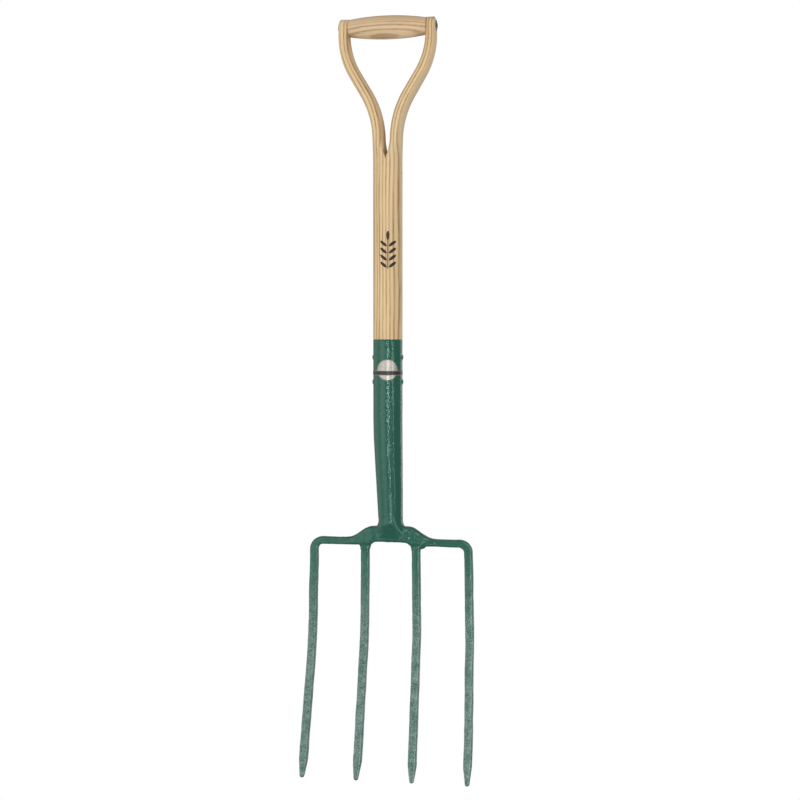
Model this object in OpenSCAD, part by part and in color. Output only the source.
// Four-tine garden fork with a forked ash shaft and a riveted cross grip.
// Millimetres. X runs along the grip, -Y faces the user's front, +Z is up.
// The origin is the underside of the grip, where the fork hangs from a hook.

/* [Handle] */
// Height of the grip's axis above the crotch of the fork in the shaft
handle_rise = 169; // [135:1:190]
// Distance between the two arms, measured at the ends of the grip
grip_span = 99; // [90:1:125]
// Largest diameter of the turned grip
grip_d = 30; // [27:0.5:34]
// Diameter of the grip where it meets the arms
grip_end_d = 22; // [20:0.5:26]
// Thickness of an arm beside the grip
arm_tip_t = 13.5; // [12:0.1:15.5]
// Width of an arm, front to back, beside the grip
arm_tip_w = 26; // [22:0.5:30]
// Height of the rounded top of an arm above the grip's axis
arm_cap = 11.5; // [10:0.5:15]
// Steepest lean of an arm
arm_lean = 31; // [26:1:36]
// Radius of the lower bend of an arm
low_bend_r = 116; // [100:1:125]
// Radius of the upper bend of an arm
high_bend_r = 98; // [80:1:105]
// Diameter of the steel rod through the grip
rod_d = 6; // [5:0.5:8]
// Diameter of the tenon on each end of the grip
tenon_d = 15; // [12:0.5:18]
// Length of each tenon
tenon_len = 7; // [5:0.5:9]

/* [Shaft] */
// Diameter of the ash shaft, and of the socket that it runs flush into
shaft_d = 38; // [34:0.5:42]
// Bare wood between the crotch and the mouth of the socket
bare_shaft = 231; // [200:1:320]
// Depth of the crotch rivet's axis below the crotch
crotch_rivet_drop = 17; // [12:1:25]
// Diameter of the crotch rivet
crotch_rivet_d = 5; // [4:0.5:6]

/* [Socket] */
// Straight length of the socket below its mouth
socket_straight = 95; // [80:1:130]
// Wall of the socket
socket_wall = 2.2; // [1.8:0.1:3]
// Length of the tapered neck below the bend
neck_len = 96; // [80:1:120]
// Diameter of the neck where it meets the crown
neck_d = 32; // [28:0.5:36]
// Backward bend of the neck
neck_angle = 9.5; // [5:0.5:14]
// Radius of the neck's bend
neck_bend_r = 300; // [200:10:400]
// Diameter of the two socket rivets
rivet_d = 6; // [5:0.5:7]
// Depth of the upper rivet below the mouth
rivet_drop = 23.5; // [18:0.5:30]
// Distance between the two rivets
rivet_pitch = 32; // [26:1:40]
// Diameter of the round foil label
label_d = 27; // [20:1:29]

/* [Head] */
// Distance between the centres of the outer tines at the crown
head_w = 207; // [180:1:230]
// Distance between the centres of the inner tines at the crown
inner_w = 68; // [60:1:76]
// Height from the tips of the tines to the middle of the crossbar
tine_drop = 310; // [270:1:340]
// Height of the crossbar, from which the outer tines are drawn
bar_h = 9.6; // [8:0.2:11]
// Width of a tine, seen from the front
tine_w = 11; // [9:0.25:13]
// Depth of a tine, front to back
tine_t = 10; // [8:0.25:11.5]
// Centre-line radius of the corners of the outer tines
corner_r = 12; // [9:0.5:18]
// Forward dish of the lower part of the tines
dish_angle = 15.5; // [8:0.5:20]
// Radius of the dish
dish_r = 260; // [180:10:320]
// Height of the middle of the dish above the tips
dish_up = 181; // [150:1:200]
// Outward lean of the outer tines
outer_splay = 1.1; // [0:0.1:2]
// Outward lean of the inner tines
inner_splay = 0.5; // [0:0.1:1.5]
// Length of the forged point
point_len = 25; // [18:1:34]
// Height from the crossbar's middle to the end of the neck
crown_rise = 28.5; // [24:0.5:34]
// Reach of the crown's shoulders to either side
crown_reach = 57; // [50:1:64]
// Depth of the crown, front to back
crown_t = 14; // [12:0.5:18]

/* [Hidden] */
$fn = 64;
eps = 0.01;

// Fits between pieces
rod_clearance = 0.1;    // around the rod and the crotch rivet, on the radius
seat_clearance = 0.1;   // around a tenon, a washer or the shaft's spigot, on the radius
grip_seat_clearance = 0.5;   // around the end of the grip, where its seat just cuts the arm
neck_step = 0.15;       // how much wider the neck is than the bend that it laps
lap = 0.5;              // how far one length of a bent piece laps over the length before it
tine_grow = 0.04;       // how much wider, to each side, a length of a tine is than the one that it laps

// Heights, from the grip down
grip_z = grip_d / 2;
crotch_z = grip_z - handle_rise;
mouth_z = crotch_z - bare_shaft;
bend_z = mouth_z - socket_straight;

// The neck's bend, and the end of the neck
bend_run = neck_bend_r * sin(neck_angle);
bend_back = neck_bend_r * (1 - cos(neck_angle));
neck_y = bend_back + neck_len * sin(neck_angle);
neck_z = bend_z - bend_run - neck_len * cos(neck_angle);
crossbar_z = neck_z - crown_rise;
tip_z = crossbar_z - tine_drop;

shaft_r = shaft_d / 2;
bore_r = shaft_r - socket_wall;
spigot_r = bore_r - seat_clearance;
neck_r = neck_d / 2;
neck_bore_r = neck_r - socket_wall - 1;

wood = "burlywood";
paint = "seagreen";
steel = "silver";

// ---------------------------------------------------------------- the arms

// Thickness of an arm where its lower bend starts, and the gap left by the saw
arm_root_t = shaft_r * 0.82;
kerf = 0.2;
arm_low_x = shaft_r - arm_root_t / 2;
arm_top_x = grip_span / 2 + arm_tip_t / 2;
low_rise = low_bend_r * sin(arm_lean);
high_rise = high_bend_r * sin(arm_lean);
low_out = low_bend_r * (1 - cos(arm_lean));
high_out = high_bend_r * (1 - cos(arm_lean));
slope_out = arm_top_x - arm_low_x - low_out - high_out;
slope_rise = slope_out / tan(arm_lean);
arm_top_z = grip_z - 9;
arm_low_z = arm_top_z - high_rise - slope_rise - low_rise;

function mix(a, b, t) = a + (b - a) * t;
function ease(t) = let (u = min(1, max(0, t))) u * u * (3 - 2 * u);
function up_share(z) = (z - crotch_z) / (grip_z - crotch_z);

// The two bends and the slope between them, each as [x, z, lean] on the arm's middle line
function low_bend(a) = [arm_low_x + low_bend_r * (1 - cos(a)), arm_low_z + low_bend_r * sin(a), a];
function high_bend(a) = [arm_top_x - high_bend_r * (1 - cos(a)), arm_top_z - high_bend_r * sin(a), a];

bend_steps = 6;
cap_steps = 4;
root_sink = 1.5;    // how far the arms start below the crotch, inside the shaft
root_inset = 0.25;  // how far inside the shaft's surface they start
root_rise = arm_low_z - crotch_z;
arm_line = concat(
    [for (k = [0 : 2]) let (z = mix(crotch_z - root_sink, arm_low_z, k / 3))
        [mix(root_inset + kerf / 2, 0, k / 3) / 2 + arm_low_x - (root_t(z) - arm_root_t) / 2, z, 0]],
    [for (k = [0 : bend_steps]) low_bend(arm_lean * k / bend_steps)],
    [for (k = [0 : bend_steps]) high_bend(arm_lean * (1 - k / bend_steps))],
    [[arm_top_x, grip_z, 0]],
    [for (k = [1 : cap_steps]) [arm_top_x, grip_z + arm_cap * sin(85 * k / cap_steps), 0]]);

function root_t(z) = mix(shaft_r - root_inset - kerf / 2, arm_root_t, ease((z - crotch_z) / root_rise));
function arm_t(z) = z < arm_low_z ? root_t(z)
    : mix(arm_root_t, arm_tip_t, pow(min(1, (z - arm_low_z) / (grip_z - arm_low_z)), 3));
function cap_share(z) = z <= grip_z ? 1 : sqrt(max(0, 1 - pow((z - grip_z) / arm_cap, 2)));
function arm_w(z) = mix(shaft_d - 2 * root_inset, arm_tip_w, ease(up_share(z))) * cap_share(z);

// One outline around an arm: half round outside, nearly flat with eased edges inside.
half_steps = 8;
root_round = 0.4;    // how much the inside of an arm is rounded at the crotch, and at the grip
inner_round = 9;
round_rise = 26;     // how far above the crotch the inside of an arm is fully rounded
function signed_pow(v, p) = sign(v) * pow(abs(v), p);
function arm_ring(p) = let (
        z = p[1], t = arm_t(z), w = arm_w(z), up = ease(up_share(z)),
        round_up = ease((z - crotch_z) / round_rise),
        inside = mix(root_round, inner_round, round_up), square_out = mix(1, 0.72, up),
        across = [cos(p[2]), -sin(p[2])])
    [for (k = [0 : 2 * half_steps - 1]) let (
            u = -90 + 180 * k / half_steps, outer = k <= half_steps,
            x = outer ? (t - inside) * pow(abs(cos(u)), square_out) : -inside * pow(abs(cos(u)), 0.7),
            d = x + inside - t / 2)
        [p[0] + across[0] * d,
         w / 2 * signed_pow(sin(u), outer ? square_out : 0.8),
         z + across[1] * d]];

module skin(rings) {
    n = len(rings[0]);
    last = len(rings) - 1;
    points = [for (r = rings) each r];
    sides = [for (i = [0 : last - 1], k = [0 : n - 1]) each
        let (a = i * n + k, b = i * n + (k + 1) % n) [[a, b + n, b], [a, a + n, b + n]]];
    ends = [[for (k = [0 : n - 1]) k], [for (k = [n - 1 : -1 : 0]) last * n + k]];
    polyhedron(points = points, faces = concat(sides, ends), convexity = 6);
}

module arm() { skin([for (p = arm_line) arm_ring(p)]); }

// ---------------------------------------------------------------- wood

module along_x() { rotate([0, 90, 0]) children(); }

module x_rod(r, x0, x1, z) {
    translate([x0, 0, z]) along_x() cylinder(r = r, h = x1 - x0);
}

washer_t = 1.2;
grip_washer_r = 7;
washer_sink = 0.8;
grip_washer_x = arm_top_x + arm_tip_t / 2 - washer_sink;   // inner face of each washer, from the grip's middle
crotch_washer_r = 5.5;
crotch_washer_x = sqrt(pow(shaft_r, 2) - pow(crotch_washer_r, 2)) - washer_t;
crotch_rivet_z = crotch_z - crotch_rivet_drop;
spigot_len = socket_straight + 5;
spigot_tip = 14;

module shaft() {
    color(wood) difference() {
        union() {
            translate([0, 0, mouth_z]) cylinder(r = shaft_r, h = bare_shaft);
            translate([0, 0, mouth_z - spigot_len]) cylinder(r = spigot_r, h = spigot_len + 1);
            translate([0, 0, mouth_z - spigot_len - spigot_tip])
                cylinder(r1 = spigot_r - 5, r2 = spigot_r, h = spigot_tip);
            arm();
            mirror([1, 0, 0]) arm();
        }
        // seats for the grip, its tenons, its rod and the rod's washers
        x_rod(grip_end_d / 2 + grip_seat_clearance, -grip_half, grip_half, grip_z);
        x_rod(tenon_d / 2 + seat_clearance, -grip_half - tenon_len, grip_half + tenon_len, grip_z);
        x_rod(rod_d / 2 + rod_clearance, -grip_span, grip_span, grip_z);
        x_rod(grip_washer_r + seat_clearance, grip_washer_x, grip_span, grip_z);
        x_rod(grip_washer_r + seat_clearance, -grip_span, -grip_washer_x, grip_z);
        // seats for the crotch rivet and its washers
        x_rod(crotch_rivet_d / 2 + rod_clearance, -shaft_d, shaft_d, crotch_rivet_z);
        x_rod(crotch_washer_r + seat_clearance, crotch_washer_x, shaft_d, crotch_rivet_z);
        x_rod(crotch_washer_r + seat_clearance, -shaft_d, -crotch_washer_x, crotch_rivet_z);
        // holes for the socket rivets
        for (z = rivet_heights) x_rod(rivet_d / 2 + eps, -shaft_d, shaft_d, z);
    }
}

// Half the length of the grip's barrel: its ends stand in flat seats cut into the arms
grip_half = grip_span / 2 - 0.4;
grip_profile_steps = 14;
function grip_r(x) = mix(grip_d, grip_end_d, pow(x / grip_half, 2)) / 2;

module grip() {
    color(wood) translate([0, 0, grip_z]) along_x() difference() {
        union() {
            rotate_extrude() polygon(concat([[0, -grip_half]],
                [for (k = [-grip_profile_steps : grip_profile_steps])
                    let (x = grip_half * k / grip_profile_steps) [grip_r(x), x]],
                [[0, grip_half]]));
            cylinder(r = tenon_d / 2, h = 2 * (grip_half + tenon_len), center = true);
        }
        cylinder(r = rod_d / 2 + rod_clearance, h = 2 * grip_span, center = true);
    }
}

// ---------------------------------------------------------------- handle hardware

// A rod along X that is peened into a low dome over a washer at each end
module peened_rod(r, half, dome_r, dome_h) {
    along_x() {
        cylinder(r = r, h = 2 * half, center = true);
        for (end = [0, 1]) mirror([0, 0, end]) translate([0, 0, half]) dome(dome_r, dome_h);
    }
}

// A spherical cap standing on the plane z = 0
module dome(r, h) {
    ball = (r * r + h * h) / (2 * h);
    intersection() {
        translate([0, 0, h - ball]) sphere(r = ball);
        translate([0, 0, 0]) cylinder(r = r + 1, h = h + 1);
    }
}

module washer_at(x, z, outer_r, hole_r) {
    translate([x, 0, z]) along_x() difference() {
        cylinder(r = outer_r, h = washer_t);
        translate([0, 0, -1]) cylinder(r = hole_r, h = washer_t + 2);
    }
}

module grip_rod() {
    color(steel) translate([0, 0, grip_z])
        peened_rod(rod_d / 2, grip_washer_x + washer_t, rod_d * 0.85, 1.6);
}

module grip_washer(side) {
    color(steel) washer_at(
        side > 0 ? grip_washer_x : -grip_washer_x - washer_t, grip_z,
        grip_washer_r, rod_d / 2 + rod_clearance);
}

module crotch_rivet() {
    color(steel) translate([0, 0, crotch_rivet_z])
        peened_rod(crotch_rivet_d / 2, crotch_washer_x + washer_t, crotch_rivet_d * 0.8, 0.9);
}

module crotch_washer(side) {
    color(steel) washer_at(side > 0 ? crotch_washer_x : -crotch_washer_x - washer_t,
        crotch_rivet_z, crotch_washer_r, crotch_rivet_d / 2 + rod_clearance);
}

// ---------------------------------------------------------------- socket

rivet_heights = [mouth_z - rivet_drop, mouth_z - rivet_drop - rivet_pitch];
rivet_head_r = 4.6;
rivet_head_h = 1.5;

// Places its children in the neck's frame: origin at the end of the neck, +Z up the neck
module at_neck_end() { translate([0, neck_y, neck_z]) rotate([neck_angle, 0, 0]) children(); }

// A bar of the 2D section that is its child, bent in the YZ plane. It starts at the origin going
// down, and turns towards -Y. The section's X is the bar's depth and its Y is the bar's width.
module dish(r, angle) {
    translate([0, -r, 0]) rotate([-90, 0, 90]) rotate_extrude(angle = angle, $fn = 180)
        translate([r, 0]) children();
}

// The inside or outside of the socket: straight tube, bend and tapered neck
module socket_core(top_r, end_r, over) {
    translate([0, 0, bend_z]) cylinder(r = top_r, h = socket_straight + over);
    translate([0, 0, bend_z]) mirror([0, 1, 0]) dish(neck_bend_r, neck_angle) circle(r = top_r);
    at_neck_end() translate([0, 0, -over])
        cylinder(r1 = end_r, r2 = top_r + neck_step, h = neck_len + over + lap);
}

seam_w = 0.8;
seam_depth = 0.9;
seam_stop = 4;      // the seam is dressed smooth from here down
mouth_ease = 0.8;

module socket() {
    color(paint) difference() {
        socket_core(shaft_r, neck_r, 0);
        socket_core(bore_r, neck_bore_r, 1);
        for (z = rivet_heights) x_rod(rivet_d / 2 + eps, -shaft_d, shaft_d, z);
        // the closed seam down the back of the rolled tube
        translate([-seam_w / 2, shaft_r - seam_depth, bend_z + seam_stop])
            cube([seam_w, 2 * seam_depth, socket_straight]);
        // the eased edge of the mouth
        translate([0, 0, mouth_z]) rotate_extrude()
            polygon([[shaft_r - mouth_ease, 1], [shaft_r - mouth_ease, 0], [shaft_r, -mouth_ease],
                     [shaft_r + 1, -mouth_ease], [shaft_r + 1, 1]]);
    }
}

// A socket rivet: a shank through tube and shaft, with a low head at each side
module socket_rivet(z) {
    color(paint) translate([0, 0, z]) {
        along_x() cylinder(r = rivet_d / 2, h = 2 * shaft_r, center = true);
        difference() {
            for (end = [0, 1]) mirror([end, 0, 0]) translate([head_base_x, 0, 0]) along_x()
                dome(rivet_head_r, rivet_head_h + shaft_r - head_base_x);
            cylinder(r = shaft_r, h = shaft_d, center = true);
        }
    }
}

head_base_x = sqrt(pow(shaft_r, 2) - pow(rivet_head_r, 2));

label_t = 0.25;
label_turn = 8;    // the label sits a little to the right of the socket's front
band_h = 6;        // its band goes half round the socket, just below the disc's middle
band_drop = 4;
label_z = mean(rivet_heights);
function mean(v) = (v[0] + v[1]) / 2;

module label() {
    color("gainsboro") intersection() {
        difference() {
            translate([0, 0, label_z - label_d]) cylinder(r = shaft_r + label_t, h = 2 * label_d);
            translate([0, 0, label_z - label_d - 1]) cylinder(r = shaft_r, h = 2 * label_d + 2);
        }
        rotate([0, 0, label_turn]) union() {
            translate([0, 0, label_z]) rotate([90, 0, 0]) cylinder(r = label_d / 2, h = shaft_d);
            translate([-shaft_d, -shaft_d, label_z - band_drop - band_h / 2]) cube([2 * shaft_d, shaft_d, band_h]);
        }
    }
}

// ---------------------------------------------------------------- crown

crossbar_half = bar_h / 2;
crown_under_z = crossbar_z - crossbar_half;
shoulder_in = 24;         // where the shoulder's slope starts, from the middle
shoulder_rise = 15.5;     // height of the shoulder above the crossbar
arch_rise = 4.5;          // how far the underside rises between the inner tines
arch_half = inner_w / 2 - tine_w / 2;
arch_flat = 0.6;          // the share of the arch that is straight
shoulder_steps = 12;
spigot_up = 12;           // how far the crown's spigot stands inside the neck

// Height of the shoulder above the crossbar's top at distance x from the middle
function shoulder(x) = shoulder_rise * (0.5 + 0.5 * cos(180 * (x - shoulder_in) / (crown_reach + 1 - shoulder_in)));

half_crown = concat(
    [for (k = [0 : 12]) let (x = arch_half * k / 12)
        [x, -crossbar_half + arch_rise * (1 - ease((k / 12 - arch_flat) / (1 - arch_flat)))]],
    [[crown_reach, -crossbar_half]],
    [for (k = [0 : shoulder_steps]) let (x = mix(crown_reach, shoulder_in, k / shoulder_steps))
        [x, crossbar_half + shoulder(x)]],
    [[0, crossbar_half + shoulder_rise]]);

// Places a 2D outline, drawn in X and Z, upright in the plane of the crown
module in_crown_plane(depth) {
    translate([0, neck_y + depth / 2, crossbar_z]) rotate([90, 0, 0]) linear_extrude(depth) children();
}

crown_end_t = tine_t + 1;

module crown_plate() {
    intersection() {
        in_crown_plane(crown_t) {
            polygon(half_crown);
            mirror([1, 0]) polygon(half_crown);
        }
        // the plate thins towards the ends of its shoulders
        translate([0, neck_y, crossbar_z - 50]) linear_extrude(100) polygon([
            [-crown_reach, -crown_end_t / 2], [-shoulder_in, -crown_t / 2],
            [shoulder_in, -crown_t / 2], [crown_reach, -crown_end_t / 2],
            [crown_reach, crown_end_t / 2], [shoulder_in, crown_t / 2],
            [-shoulder_in, crown_t / 2], [-crown_reach, crown_end_t / 2]]);
    }
}

// The round end of the neck flattens into the plate
module crown_boss() {
    hull() {
        at_neck_end() translate([0, 0, -1]) cylinder(r = neck_r, h = 1, $fn = 32);
        translate([-neck_r - 3, neck_y - crown_t / 2, crossbar_z + 2]) cube([2 * neck_r + 6, crown_t, 8]);
    }
}

module crown() {
    color(paint) {
        crown_plate();
        crown_boss();
        at_neck_end() translate([0, 0, -1])
            cylinder(r = neck_bore_r - seat_clearance, h = spigot_up + 1);
    }
}

bead_r = 1.8;
neck_taper = (shaft_r - neck_r) / neck_len;

// A bead round the foot of the neck, lying on the neck's cone
module socket_weld() {
    color(paint) at_neck_end() rotate_extrude()
        polygon(concat([[neck_r + neck_taper * bead_r, bead_r]],
            [for (k = [5 : -1 : 1]) let (a = -90 + 30 * k)
                [neck_r + bead_r * cos(a), bead_r * sin(a)]],
            [[neck_r, -bead_r * 0.5], [neck_r, 0]]));
}

// ---------------------------------------------------------------- tines

edge = 1.6;   // width of the forged bevel along each edge

// Square section with bevelled edges: x is the depth and y the width
module tine_section(grow = 0, wide = tine_w) {
    a = tine_t / 2 + grow;
    b = wide / 2 + grow;
    polygon([[a, edge - b], [a, b - edge], [a - edge, b], [edge - a, b],
             [-a, b - edge], [-a, edge - b], [edge - a, -b], [a - edge, -b]]);
}

// The same section with the width along X and the depth along Y
module tine_section_xy(grow = 0, wide = tine_w) { rotate(90) tine_section(grow, wide); }

point_end_w = 4.4;   // width of the very tip
point_end_t = 3.6;   // depth of the very tip

// An outline for the taper of a point, drawn downwards. It widens up the tine, clear of its faces.
module taper(half_top_a, half_top_b, half_end_a, half_end_b, high) {
    slope_a = (half_top_a - half_end_a) / point_len;
    slope_b = (half_top_b - half_end_b) / point_len;
    polygon([[-half_end_a + 1, 0], [half_end_b - 1, 0], [half_end_b, 1],
             [half_end_b + slope_b * high, high], [-half_end_a - slope_a * high, high], [-half_end_a, 1]]);
}

// The lower, straight length of a tine, hanging from the origin, with its forged point: the sides
// and the back run in to the tip, and the front hardly at all
module tine_end(len) {
    intersection() {
        translate([0, 0, -len]) linear_extrude(len + lap) tine_section_xy(2 * tine_grow);
        translate([0, tine_t, -len]) rotate([90, 0, 0]) linear_extrude(2 * tine_t)
            taper(tine_w / 2, tine_w / 2, point_end_w / 2, point_end_w / 2, len + 1);
        translate([-tine_w, 0, -len]) rotate([90, 0, 90]) linear_extrude(2 * tine_w)
            taper(tine_t / 2, tine_t / 2, tine_t / 2 - 1, point_end_t - tine_t / 2 + 1, len + 1);
    }
}

// A tine from its straight top at the origin down to its point, drop below it
module tine_leg(drop, top_lap = 0) {
    lower = (dish_up - dish_r * tan(dish_angle / 2)) / cos(dish_angle);
    straight = drop - dish_up - dish_r * tan(dish_angle / 2);
    translate([0, 0, -straight]) {
        linear_extrude(straight + top_lap) tine_section_xy(tine_grow);
        dish(dish_r, dish_angle) tine_section(tine_grow);
        translate([0, -dish_r * (1 - cos(dish_angle)), -dish_r * sin(dish_angle)])
            rotate([-dish_angle, 0, 0]) tine_end(lower);
    }
}

module inner_tine(side) {
    color(paint) translate([side * inner_w / 2, neck_y, crown_under_z])
        rotate([0, -side * inner_splay, 0]) tine_leg(crown_under_z - tip_z);
}

corner_turn = 90 - outer_splay;
corner_x = head_w / 2 - corner_r;

// An outer tine: a stub of crossbar, the corner, and the leg
module outer_tine(side) {
    color(paint) mirror([side < 0 ? 1 : 0, 0, 0]) translate([0, neck_y, crossbar_z]) {
        translate([crown_reach, 0, 0]) along_x()
            linear_extrude(corner_x - crown_reach + lap) tine_section_xy(-tine_grow, min(bar_h, tine_w));
        translate([corner_x, 0, -corner_r]) rotate([90, 0, 0]) rotate([0, 0, outer_splay])
            rotate_extrude(angle = corner_turn, $fn = 96) translate([corner_r, 0]) tine_section_xy();
        translate([corner_x + corner_r * cos(outer_splay), 0, -corner_r + corner_r * sin(outer_splay)])
            rotate([0, -outer_splay, 0]) tine_leg(crossbar_z - corner_r - tip_z, lap);
    }
}

bead_w = 5;
bead_proud = 0.7;

// A ground bead round each joint between the crown and an outer tine
module outer_tine_welds() {
    color(paint) for (side = [0, 1]) mirror([side, 0, 0]) difference() {
        translate([crown_reach, neck_y, crossbar_z]) along_x() translate([0, 0, -bead_w / 2])
            linear_extrude(bead_w) square([bar_h + 2 * bead_proud, crown_end_t + 2 * bead_proud], center = true);
        crown_plate();
        translate([crown_reach, neck_y, crossbar_z]) along_x() linear_extrude(bead_w)
            tine_section_xy(-tine_grow, min(bar_h, tine_w));
    }
}

fillet_w = 3;
lump_r = 5;

// Fillets at the roots of the inner tines, with one heavy lump outside the right one
module inner_tine_welds() {
    color(paint) difference() {
        union() {
            for (side = [-1, 1]) translate([side * inner_w / 2, neck_y + tine_t / 2, crown_under_z])
                rotate([90, 0, 0]) linear_extrude(tine_t) polygon([
                    [-tine_w / 2 - fillet_w, 0], [-tine_w / 2 - 0.3, -fillet_w],
                    [tine_w / 2 + 0.3, -fillet_w], [tine_w / 2 + fillet_w, 0]]);
            intersection() {
                translate([inner_w / 2 + tine_w / 2 + 1, neck_y, crown_under_z + 1.5]) sphere(r = lump_r);
                translate([0, neck_y - tine_t / 2, crown_under_z - 2 * lump_r])
                    cube([inner_w, tine_t, 2 * lump_r]);
            }
        }
        inner_tine(-1);
        inner_tine(1);
    }
}

shaft();
grip();
grip_rod();
grip_washer(-1);  // grip_washer_left
grip_washer(1);  // grip_washer_right
crotch_rivet();
crotch_washer(-1);  // crotch_washer_left
crotch_washer(1);  // crotch_washer_right
socket();
socket_weld();
crown();
outer_tine(-1);  // outer_tine_left
inner_tine(-1);  // inner_tine_left
inner_tine(1);  // inner_tine_right
outer_tine(1);  // outer_tine_right
outer_tine_welds();
inner_tine_welds();
socket_rivet(rivet_heights[0]);  // socket_rivet_upper
socket_rivet(rivet_heights[1]);  // socket_rivet_lower
label();
